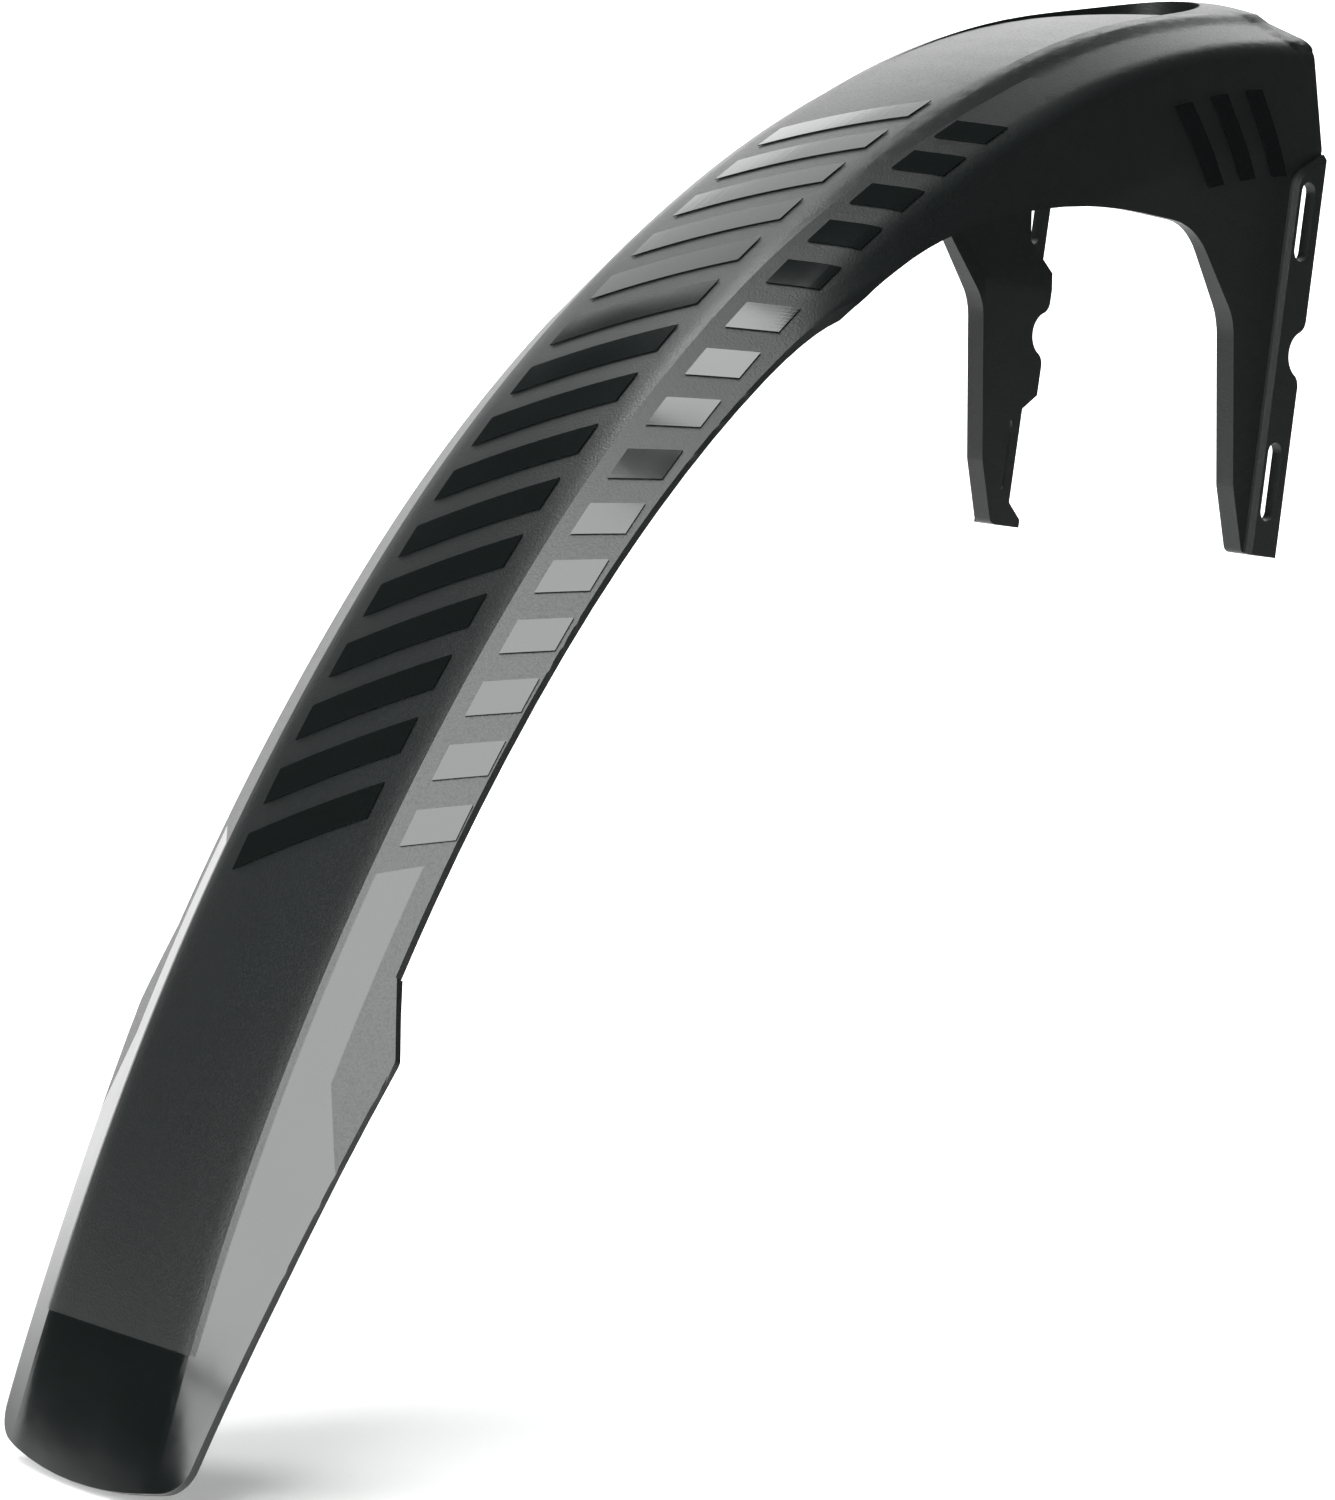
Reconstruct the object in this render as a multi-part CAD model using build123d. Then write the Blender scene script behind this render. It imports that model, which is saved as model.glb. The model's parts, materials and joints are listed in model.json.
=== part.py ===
from build123d import *
import os
from math import atan2, cos, degrees, hypot, radians, sin, tan

# Strap-on bicycle mudguard, one plastic moulding, in millimetres.
# While it is built, the origin is midway between the four strap slots, X points forward,
# Y across and Z up along the legs. At the end the origin moves to the centre of the box.

# Crown line: three tangent arcs that run back from the collar to the tail
COLLAR_RISE = 85.3
COLLAR_LEAD = 0.9
COLLAR_PITCH = 6.2
FRONT_RADIUS = 256.0
FRONT_ARC = 110.0
MID_RADIUS = 382.5
MID_ARC = 185.0
TAIL_RADIUS = 562.0
TAIL_ARC = 242.0

# Wall and the section of the guard, as half widths and heights over the crown line
WALL = 2.2
TOP_HALF = 20.8
TOP_RISE = 0.6
TOP_CROWN = 0.8
SHOULDER_HALF = 24.0
FLANGE_SLOPE = 30.5
FLANGE_BEND = 12.0
FLANGE_REACH = 24.0
FLANGE_EDGE_WALL = 1.4
TAIL_SHOULDER_HALF = 25.2
TAIL_FLANGE_SLOPE = 11.0

# Section of the collar that carries the legs
CREST_HALF = 19.5
CREST_RISE = 0.6
CREST_CROWN = 2.2
LIP_HALF = 23.2
LIP_DROP = 0.2
BAND_HALF = 27.0
BAND_DROP = 2.4
CREASE_HALF = 41.4
CREASE_DROP = 7.5
CREASE_SOFTNESS = 4.5
COLLAR_WALL_DROP = 33.0
COLLAR_WALL_END = 150.0

# Where the guard's section turns into the collar's, as distances behind the front of the crown line
BLEND_END = 94.0
BLEND_LENGTH = 120.0
FRONT_OVERRUN = 14.0

# Outline of the flanges
JOG_DISTANCE = 394.0
JOG_LENGTH = 18.4
TAIL_LENGTH = 124.7
WAIST_HALF = 37.1
JOG_HALF = 43.3
TIP_HALF = 31.5
TIP_BOW = 5.5
TIP_CORNER = 8.5
JOG_CORNER = 4.0
ARCH_DISTANCE = 158.0
ARCH_HALF = 43.9
EDGE_GROWTH = 2.5

# Recessed top panel that runs in under the collar
PANEL_RADIUS = 232.0
PANEL_STEP = 0.1
PANEL_START_HALF = 20.4
PANEL_END_HALF = 19.2
PANEL_STRAIGHT = 66.0
PANEL_NOSE = 37.0

# Legs, which splay a little toward their feet
LEG_OUTER = 44.5
LEG_SPLAY = 0.5
LEG_THICKNESS = 5.5
LEG_FRONT = 5.8
LEG_FOOT = 52.2
LEG_TOE_WIDTH = 11.7
LEG_TAPER_HEIGHT = 16.4
LEG_TAPER_WIDTH = 18.5
LEG_KNEE_HEIGHT = 5.7
LEG_KNEE_WIDTH = 27.0
LEG_TOP = 42.0
LEG_BLEND = 30.0
LEG_FADE = 36.0
KNEE_RADIUS = 14.0
ANKLE_RADIUS = 6.0
TOE_RADIUS = 2.5
FRONT_TOP_BACK = 7.4
FRONT_KNEE_RISE = 1.0

# Arch over the wheel between a flange's edge and its leg
ARCH_CREST = 26.5
ARCH_CORNER_BACK = 41.2
ARCH_RADIUS = 20.0
ARCH_CREST_BACK = 63.0
ARCH_REAR_BACK = 96.0
ARCH_REAR_DROP = 3.8
ARCH_HAUNCH_BACK = 131.0
ARCH_HAUNCH_DROP = 16.7
ARCH_EDGE_BACK = 164.0
ARCH_EDGE_DROP = 41.3
ARCH_START_BACK = 192.0
ARCH_START_DROP = 73.0

# Strap slots, pads, pockets and the notch
SLOT_SPACING = 66.4
SLOT_LENGTH = 20.2
SLOT_WIDTH = 5.5
PAD_RAISE = 2.0
PAD_REAR = 5.2
PAD_TOP = 44.4
PAD_TOP_RISE = 6.8
PAD_CORNER = 6.0
PAD_BEVEL = 1.2
POCKET_DEPTH = 4.5
POCKET_MARGIN = 0.8
POCKET_FLARE = 7.5
NOTCH_RADIUS = 6.0
NOTCH_OVERHANG = 0.6
NOTCH_SHOULDER = 3.5

# How far a cutting shape runs past what it cuts
CUT_CLEAR = 20.0


def crown_point(back):
    """Point and slope of the crown line at a distance behind its front end."""
    x, z, pitch = COLLAR_LEAD, COLLAR_RISE, radians(COLLAR_PITCH)
    arcs = [(FRONT_RADIUS, FRONT_ARC), (MID_RADIUS, MID_ARC), (TAIL_RADIUS, TAIL_ARC)]
    for number, (radius, length) in enumerate(arcs):
        last = number == len(arcs) - 1
        run = back if last else min(back, length)
        end_pitch = pitch + run / radius
        x += radius * (sin(pitch) - sin(end_pitch))
        z += radius * (cos(end_pitch) - cos(pitch))
        pitch = end_pitch
        back -= run
        if back <= 0:
            break
    return x, z, pitch


def section_plane(back):
    """Plane across the crown line: its x runs across the guard and its y up out of the crown."""
    x, z, pitch = crown_point(back)
    return Plane(origin=(x, 0, z), x_dir=(0, 1, 0), z_dir=(cos(pitch), 0, sin(pitch)))


def guard_side(tail):
    """Half section of the guard: panel edge, bevel, shoulder and three points down the flange."""
    slope = tan(radians(FLANGE_SLOPE + (TAIL_FLANGE_SLOPE - FLANGE_SLOPE) * tail))
    widen = (TAIL_SHOULDER_HALF - SHOULDER_HALF) * tail
    shoulder = SHOULDER_HALF + widen
    bevel_half = (TOP_HALF + SHOULDER_HALF) / 2 + widen
    points = [(TOP_HALF + widen, TOP_RISE), (bevel_half, TOP_RISE * 0.6), (shoulder, 0)]
    points += [(shoulder + run, -slope * run) for run in (FLANGE_BEND, FLANGE_BEND * 1.4, FLANGE_REACH)]
    return points


def collar_side():
    """Half section of the collar: crest, lip, band, soft crease, wall and wall end."""
    splay = tan(radians(LEG_SPLAY))
    return [
        (CREST_HALF, CREST_RISE),
        (LIP_HALF, -LIP_DROP),
        (BAND_HALF, -BAND_DROP),
        (CREASE_HALF, -CREASE_DROP),
        (LEG_OUTER - splay * (COLLAR_RISE - COLLAR_WALL_DROP), -COLLAR_WALL_DROP),
        (LEG_OUTER + splay * (COLLAR_WALL_END - COLLAR_RISE), -COLLAR_WALL_END),
    ]


def ease(share):
    """Share from 0 to 1 with a soft start and end."""
    share = min(max(share, 0.0), 1.0)
    return share * share * (3 - 2 * share)


def collar_share(back):
    """How far the section has turned from guard (0) to collar (1)."""
    return ease((BLEND_END + BLEND_LENGTH - back) / BLEND_LENGTH)


def tail_share(back):
    """How far the section has turned from guard (0) to the flatter tail tip (1)."""
    return min(max((back - JOG_DISTANCE) / TAIL_LENGTH, 0.0), 1.1) ** 4


def panel_depth(back):
    """How far the recessed panel has sunk below the collar's top."""
    run = min(max(FRONT_ARC - back, 0.0), PANEL_STRAIGHT + PANEL_NOSE)
    return run * run / 2 * (1 / PANEL_RADIUS - 1 / FRONT_RADIUS)


def mix(a, b, share):
    """Point between two points."""
    return tuple(p + (q - p) * share for p, q in zip(a, b))


def toward(a, b, distance):
    """Point at a distance from a on the way to b."""
    return mix(a, b, distance / hypot(b[0] - a[0], b[1] - a[1]))


def inner_side(side, top_slope, depth, walls):
    """The half section set in by the wall, and lowered under the recessed panel."""
    slopes = [top_slope] + [atan2(b[1] - a[1], b[0] - a[0]) for a, b in zip(side, side[1:])]
    slopes.append(slopes[-1])
    lowered = (1.0, 1.0, 0.5, 0.0, 0.0, 0.0)
    points = []
    for point, before, after, sink, wall in zip(side, slopes, slopes[1:], lowered, walls):
        angle = (before + after) / 2
        reach = wall / cos((after - before) / 2)
        points.append((point[0] + reach * sin(angle), point[1] - reach * cos(angle) - sink * depth))
    return points


def side_edges(side, mirror):
    """Edges down one half section, with a soft turn at the crease."""
    points = [(mirror * y, d) for y, d in side]
    crease = points[3]
    before = toward(crease, points[2], CREASE_SOFTNESS)
    after = toward(crease, points[4], CREASE_SOFTNESS * 0.75)
    edges = [Edge.make_line(points[0], points[1]), Edge.make_line(points[1], points[2])]
    edges += [Edge.make_line(points[2], before), Edge.make_bezier(before, crease, after)]
    edges += [Edge.make_line(after, points[4]), Edge.make_line(points[4], points[5])]
    return edges


def shell_section(back):
    """Closed section of the wall at a distance behind the front of the crown line."""
    share = collar_share(back)
    guard = guard_side(tail_share(back))
    outer = [mix(a, b, share) for a, b in zip(guard, collar_side())]
    crown = TOP_CROWN + (CREST_CROWN - TOP_CROWN) * ease(1 - back / FRONT_ARC)
    depth = panel_depth(back)
    edge_wall = FLANGE_EDGE_WALL + (WALL - FLANGE_EDGE_WALL) * share
    walls = (WALL, WALL, WALL, (WALL + edge_wall) / 2, edge_wall, edge_wall)
    inner = inner_side(outer, -2 * crown / outer[0][0], depth, walls)
    edges = []
    for side, rise in ((outer, crown), (inner, TOP_CROWN - WALL - PANEL_STEP - depth)):
        top = (0, outer[0][1] + rise)
        left, right = (-side[0][0], side[0][1]), side[0]
        edges.append(Edge.make_three_point_arc(left, top, right))
        edges += side_edges(side, 1)
        edges += side_edges(side, -1)
    for mirror in (1, -1):
        ends = [(mirror * side[-1][0], side[-1][1]) for side in (outer, inner)]
        edges.append(Edge.make_line(*ends))
    return section_plane(back) * Face(Wire(edges))


def shell():
    """The whole wall as one loft along the crown line, before its edges are trimmed."""
    start, end = -FRONT_OVERRUN, FRONT_ARC + MID_ARC + TAIL_ARC
    stations = [start + (end - start) * number / 16 for number in range(17)]
    return loft([shell_section(back) for back in stations])


def plan_plane(back, origin_back):
    """Plane that lies on the guard: x runs forward along the crown line's slope and y across."""
    x, z, _ = crown_point(origin_back)
    pitch = crown_point(back)[2]
    return Plane(origin=(x, 0, z), x_dir=(cos(pitch), 0, sin(pitch)), z_dir=(-sin(pitch), 0, cos(pitch)))


def tail_trim():
    """What is cut away round the tapered tail and the jog in its flanges."""
    reach = FLANGE_REACH + SHOULDER_HALF + CUT_CLEAR
    plane = plan_plane(JOG_DISTANCE + TAIL_LENGTH / 2, JOG_DISTANCE)
    tip = -TAIL_LENGTH
    corner = tip + TIP_BOW
    side = [(corner, TIP_HALF), (-JOG_LENGTH, JOG_HALF), (0, WAIST_HALF), (0, -WAIST_HALF)]
    side += [(-JOG_LENGTH, -JOG_HALF), (corner, -TIP_HALF)]
    outline = Polyline(*side) + ThreePointArc(side[-1], (tip, 0), side[0])
    kept = make_face(outline)
    tips = kept.vertices().sort_by(Axis.X)[:2]
    kept = fillet(tips, TIP_CORNER)
    jogs = [v for v in kept.vertices() if abs(v.X + JOG_LENGTH) < 0.01]
    kept = fillet(jogs, JOG_CORNER)
    sheet = Pos(-reach / 2 - TAIL_LENGTH / 2, 0) * Rectangle(TAIL_LENGTH + reach, 2 * reach)
    return extrude(plane * (sheet - kept), amount=reach, both=True)


def edge_half(back):
    """Half width of the flange's edge between the jog and the arch."""
    along = (JOG_DISTANCE - back) / (JOG_DISTANCE - ARCH_DISTANCE)
    return WAIST_HALF + (ARCH_HALF - WAIST_HALF) * along**EDGE_GROWTH


def edge_trim(mirror):
    """What is cut away outside one flange's edge from the jog to the arch."""
    beyond = SHOULDER_HALF + FLANGE_REACH + CUT_CLEAR
    strips = []
    for number in range(9):
        back = JOG_DISTANCE + (ARCH_DISTANCE - JOG_DISTANCE) * number / 8
        half = edge_half(back)
        strip = Pos(mirror * (half + beyond) / 2, -COLLAR_WALL_END / 2 + CUT_CLEAR) * Rectangle(
            beyond - half, COLLAR_WALL_END
        )
        strips.append(section_plane(back) * strip)
    return loft(strips)


def leg_rear():
    """Rear edge of a leg from the arch's crest down to the toe, seen from the side."""
    front = LEG_FRONT
    return [
        (-ARCH_CORNER_BACK, ARCH_CREST),
        (front - LEG_KNEE_WIDTH, LEG_KNEE_HEIGHT),
        (front - LEG_TAPER_WIDTH, LEG_TAPER_HEIGHT - LEG_FOOT),
        (front - LEG_TOE_WIDTH, -LEG_FOOT),
    ]


def side_plane():
    """Plane of symmetry, with its x forward and its y up."""
    return Plane(origin=(0, 0, 0), x_dir=(1, 0, 0), z_dir=(0, -1, 0))


def wheel_arch():
    """Space under the arch, behind the legs and below their feet, cut through both sides."""
    corner, knee, ankle, toe = leg_rear()
    crest = (-ARCH_CREST_BACK, ARCH_CREST)
    rear = (-ARCH_REAR_BACK, ARCH_CREST - ARCH_REAR_DROP)
    haunch = (-ARCH_HAUNCH_BACK, ARCH_CREST - ARCH_HAUNCH_DROP)
    middle = (-ARCH_EDGE_BACK, ARCH_CREST - ARCH_EDGE_DROP)
    start = (-ARCH_START_BACK, ARCH_CREST - ARCH_START_DROP)
    ahead = LEG_FRONT + 2 * CUT_CLEAR
    below = -LEG_FOOT - 2 * CUT_CLEAR
    edge = Spline(start, middle, haunch, rear, crest)
    leg = FilletPolyline(
        crest, corner, knee, ankle, toe, (ahead, -LEG_FOOT),
        radius=[ARCH_RADIUS, KNEE_RADIUS, ANKLE_RADIUS, TOE_RADIUS],
    )
    floor = Polyline(leg @ 1, (ahead, below), (-ARCH_START_BACK, below), start)
    face = make_face(edge + leg + floor)
    return extrude(side_plane() * face, amount=LEG_OUTER + CUT_CLEAR, both=True)


def front_trim():
    """Space ahead of the front edge, which leans back above the pads."""
    top = COLLAR_RISE + CUT_CLEAR
    ahead = LEG_FRONT + 2 * CUT_CLEAR
    below = -LEG_FOOT - 2 * CUT_CLEAR
    knee = PAD_TOP + PAD_TOP_RISE + FRONT_KNEE_RISE
    lean = FRONT_TOP_BACK / (COLLAR_RISE - knee)
    points = [(LEG_FRONT, below), (LEG_FRONT, knee), (LEG_FRONT - lean * (top - knee), top)]
    points += [(ahead, top), (ahead, below)]
    face = make_face(Polyline(*points, close=True))
    return extrude(side_plane() * face, amount=LEG_OUTER + CUT_CLEAR, both=True)


def panel_recess():
    """Space above the recessed panel, up to the rounded nose of the rim."""
    back = FRONT_ARC
    half = LIP_HALF + 3
    rise = TOP_RISE + TOP_CROWN - PANEL_STEP
    edge = rise - TOP_CROWN * (half / CREST_HALF) ** 2
    section = make_face(
        ThreePointArc((-half, edge), (0, rise), (half, edge))
        + Polyline((half, edge), (half, CUT_CLEAR), (-half, CUT_CLEAR), (-half, edge))
    )
    x, z, pitch = crown_point(back)
    centre = (x + PANEL_RADIUS * sin(pitch), 0, z - PANEL_RADIUS * cos(pitch))
    sweep = degrees((PANEL_STRAIGHT + PANEL_NOSE + CUT_CLEAR) / PANEL_RADIUS)
    slab = revolve(section_plane(back) * section, Axis(centre, (0, 1, 0)), sweep)
    nose = PANEL_STRAIGHT + PANEL_NOSE
    sides = Polyline(
        (PANEL_STRAIGHT, -PANEL_END_HALF), (0, -PANEL_START_HALF), (-CUT_CLEAR, -PANEL_START_HALF),
        (-CUT_CLEAR, PANEL_START_HALF), (0, PANEL_START_HALF), (PANEL_STRAIGHT, PANEL_END_HALF),
    )
    round_nose = Spline(
        (PANEL_STRAIGHT, PANEL_END_HALF), (nose, 0), (PANEL_STRAIGHT, -PANEL_END_HALF),
        tangents=[(1, 0), (-1, 0)],
    )
    outline = make_face(sides + round_nose)
    plane = plan_plane(back / 2, back)
    prism = extrude(plane * outline, amount=3 * CUT_CLEAR, both=True)
    return slab & prism


def splayed(feature):
    """A feature of the right leg, leaned outward with the leg about the slots' middle height."""
    return Pos(0, -LEG_OUTER, 0) * Rot(-LEG_SPLAY, 0, 0) * Pos(0, LEG_OUTER, 0) * feature


def leg_plate():
    """Thickening inside the right leg, thinned to nothing upward and rearward along the wall."""
    inner = LEG_OUTER - LEG_THICKNESS
    embedded = LEG_OUTER - WALL / 2
    knee = LEG_FRONT - LEG_KNEE_WIDTH
    ahead = LEG_FRONT + CUT_CLEAR
    below = -LEG_FOOT - CUT_CLEAR
    plan = Polyline(
        (ahead, -inner), (ahead, -embedded), (knee - LEG_FADE, -embedded), (knee, -inner),
        close=True,
    )
    plate = extrude(Pos(0, 0, below) * make_face(plan), amount=LEG_TOP - below)
    across = Plane(origin=(0, 0, 0), x_dir=(0, 1, 0), z_dir=(1, 0, 0))
    wedge = Polyline((-inner, LEG_TOP - LEG_BLEND), (-embedded, LEG_TOP), (-inner, LEG_TOP), close=True)
    return splayed(plate - extrude(across * make_face(wedge), amount=LEG_FADE + LEG_KNEE_WIDTH, both=True))


def pad():
    """Raised pad down the front of the right leg, with its rounded and bevelled outline."""
    below = -LEG_FOOT - CUT_CLEAR
    ahead = LEG_FRONT + CUT_CLEAR
    slope = PAD_TOP_RISE / (LEG_FRONT + PAD_REAR)
    points = [
        (-PAD_REAR, below), (-PAD_REAR, PAD_TOP),
        (ahead, PAD_TOP + slope * (ahead + PAD_REAR)), (ahead, below),
    ]
    face = make_face(Polyline(*points, close=True))
    corner = face.vertices().sort_by(Axis.X)[:2].sort_by(Axis.Y)[-1]
    face = fillet(corner, PAD_CORNER)
    block = extrude(side_plane() * face, amount=LEG_OUTER + PAD_RAISE)
    block -= extrude(side_plane() * face, amount=LEG_OUTER - WALL / 2)
    outer = block.faces().sort_by(Axis.Y)[0]
    rim = [e for e in outer.edges() if e.center().X < ahead - 0.01 and e.center().Z > below + 0.01]
    return splayed(chamfer(rim, PAD_BEVEL))


def pockets():
    """Hollows behind the strap slots, open to the leg's front edge."""
    rear = -SLOT_WIDTH / 2 - POCKET_MARGIN
    half = SLOT_LENGTH / 2 - POCKET_MARGIN
    ahead = LEG_FRONT + CUT_CLEAR
    flare = POCKET_FLARE * (ahead - rear) / (LEG_FRONT - rear)
    inner = LEG_OUTER - LEG_THICKNESS
    cut = Part()
    for height in (-SLOT_SPACING / 2, SLOT_SPACING / 2):
        points = [
            (rear, height - half), (rear, height + half),
            (ahead, height + half + flare), (ahead, height - half - flare),
        ]
        face = make_face(Polyline(*points, close=True))
        cut += extrude(side_plane() * face, amount=CUT_CLEAR + POCKET_DEPTH)
    return splayed(Pos(0, CUT_CLEAR - inner, 0) * cut)


def slots():
    """Strap slots through the right pad."""
    cut = Part()
    for height in (-SLOT_SPACING / 2, SLOT_SPACING / 2):
        shape = Pos(0, height) * SlotOverall(SLOT_LENGTH, SLOT_WIDTH, rotation=90)
        cut += extrude(side_plane() * shape, amount=LEG_OUTER + CUT_CLEAR)
    return cut


def notch():
    """Round notch in the front edge midway between the slots, with eased shoulders."""
    shape = Pos(LEG_FRONT + NOTCH_OVERHANG, 0) * Circle(NOTCH_RADIUS)
    opening = 2 * (NOTCH_RADIUS + NOTCH_SHOULDER)
    shape += Pos(LEG_FRONT + NOTCH_RADIUS, 0) * Rectangle(2 * NOTCH_RADIUS, opening)
    ease = [v for v in shape.vertices() if abs(v.X - LEG_FRONT) < 0.01 and abs(v.Y) < NOTCH_RADIUS]
    shape = fillet(ease, NOTCH_SHOULDER)
    return extrude(side_plane() * shape, amount=LEG_OUTER + CUT_CLEAR)


def mudguard():
    """The finished moulding, with its origin at the centre of its box."""
    body = shell() - tail_trim()
    for side in (1, -1):
        body -= edge_trim(side)
    for feature in (leg_plate(), pad()):
        body += feature
        body += mirror(feature, about=Plane.XZ)
    for cut in (wheel_arch(), front_trim(), panel_recess()):
        body -= cut
    for cut in (pockets(), slots(), notch()):
        body -= cut
        body -= mirror(cut, about=Plane.XZ)
    return body.moved(Location(-body.bounding_box().center()))


os.makedirs("parts", exist_ok=True)
export_step(mudguard(), "parts/mudguard.step")
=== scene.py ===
import json
import logging
import math
from dataclasses import dataclass
from enum import Enum

import bmesh
import bpy
import numpy as np
from mathutils import Euler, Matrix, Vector


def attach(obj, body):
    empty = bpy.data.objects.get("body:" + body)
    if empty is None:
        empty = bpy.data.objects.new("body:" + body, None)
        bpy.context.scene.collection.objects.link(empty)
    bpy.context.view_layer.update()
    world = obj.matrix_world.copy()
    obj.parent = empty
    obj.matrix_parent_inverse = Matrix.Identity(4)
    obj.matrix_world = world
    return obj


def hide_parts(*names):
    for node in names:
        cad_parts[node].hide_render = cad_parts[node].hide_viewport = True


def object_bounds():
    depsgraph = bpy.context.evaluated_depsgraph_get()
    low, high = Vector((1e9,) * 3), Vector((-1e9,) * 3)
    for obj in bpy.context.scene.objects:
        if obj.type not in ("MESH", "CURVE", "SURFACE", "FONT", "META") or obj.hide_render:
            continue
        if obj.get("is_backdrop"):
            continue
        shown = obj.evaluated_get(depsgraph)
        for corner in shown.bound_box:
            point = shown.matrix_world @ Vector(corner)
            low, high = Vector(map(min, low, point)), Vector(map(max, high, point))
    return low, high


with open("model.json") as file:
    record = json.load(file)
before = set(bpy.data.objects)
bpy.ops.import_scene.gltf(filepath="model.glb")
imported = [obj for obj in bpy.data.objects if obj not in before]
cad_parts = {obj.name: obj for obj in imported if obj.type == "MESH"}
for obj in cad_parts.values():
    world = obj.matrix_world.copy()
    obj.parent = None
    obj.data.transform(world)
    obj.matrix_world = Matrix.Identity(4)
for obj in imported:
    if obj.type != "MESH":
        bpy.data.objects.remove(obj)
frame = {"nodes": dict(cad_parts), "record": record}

LOG = logging.getLogger("mudguard_scene")
NODE = "mudguard"
BODY = "root"
SKIN_LEVEL = 0.5
WALL_GIRTH = 0.064
WALL_SLANT_DEG = -24.0

Array = np.ndarray
Colour = tuple[float, float, float]
Sockets = bpy.types.NodeOutputs


class SkinAttribute(Enum):
    """Values stored on the body's points for its finishes to read."""

    BACK = "back"
    GIRTH = "girth"
    SKIN = "skin"


class Side(Enum):
    """The two sides of the guard, as the sign of y."""

    LEFT = 1
    RIGHT = -1


@dataclass(frozen=True)
class Arc:
    """One arc of the crown line: where it starts and the circle that it lies on."""

    back: float
    pitch: float
    centre_x: float
    centre_z: float
    radius: float


@dataclass(frozen=True)
class CrownLine:
    """Crown line of the guard: tangent arcs in the plane y = 0, in metres.

    Distances along the line, called back, start at the collar's front end.
    """

    slots_x: float
    slots_z: float
    lead: float = 0.0009
    rise: float = 0.0853
    pitch_deg: float = 6.2
    front_radius: float = 0.256
    front_arc: float = 0.110
    mid_radius: float = 0.3825
    mid_arc: float = 0.185
    tail_radius: float = 0.562
    tail_arc: float = 0.242

    def arcs(self) -> list[Arc]:
        """Lay the arcs end to end.

        Returns:
            The arcs in order from the collar to the tail.
        """
        x = self.slots_x + self.lead
        z = self.slots_z + self.rise
        pitch = math.radians(self.pitch_deg)
        back = 0.0
        radii = (self.front_radius, self.mid_radius, self.tail_radius)
        lengths = (self.front_arc, self.mid_arc, self.tail_arc)
        laid = []
        for radius, length in zip(radii, lengths):
            arc = Arc(back, pitch, x + radius * math.sin(pitch), z - radius * math.cos(pitch), radius)
            laid.append(arc)
            pitch += length / radius
            back += length
            x = arc.centre_x - radius * math.sin(pitch)
            z = arc.centre_z + radius * math.cos(pitch)
        return laid

    def locate(self, x: Array, z: Array) -> tuple[Array, Array, Array]:
        """Find where points lie along the crown line.

        Args:
            x: Forward places of the points.
            z: Heights of the points.

        Returns:
            Distances along the line, rises over it, and the line's slopes there.
        """
        back, rise, slope = np.zeros_like(x), np.zeros_like(x), np.zeros_like(x)
        for number, arc in enumerate(self.arcs()):
            turn = np.arctan2(arc.centre_x - x, z - arc.centre_z)
            here = np.ones_like(x, dtype=bool) if number == 0 else turn >= arc.pitch
            reach = np.hypot(x - arc.centre_x, z - arc.centre_z)
            back = np.where(here, arc.back + arc.radius * (turn - arc.pitch), back)
            rise = np.where(here, reach - arc.radius, rise)
            slope = np.where(here, turn, slope)
        return back, rise, slope

    def place(self, back: Array, rise: Array) -> tuple[Array, Array]:
        """Turn distances along the line and rises over it into places.

        Args:
            back: Distances along the line.
            rise: Rises over the line.

        Returns:
            Forward places and heights.
        """
        x, z = np.zeros_like(rise), np.zeros_like(rise)
        for number, arc in enumerate(self.arcs()):
            here = np.ones_like(back, dtype=bool) if number == 0 else back >= arc.back
            turn = arc.pitch + (back - arc.back) / arc.radius
            x = np.where(here, arc.centre_x - (arc.radius + rise) * np.sin(turn), x)
            z = np.where(here, arc.centre_z + (arc.radius + rise) * np.cos(turn), z)
        return x, z


def ease(share: Array) -> Array:
    """Share from 0 to 1 with a soft start and end."""
    share = np.clip(share, 0.0, 1.0)
    return share * share * (3 - 2 * share)


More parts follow.
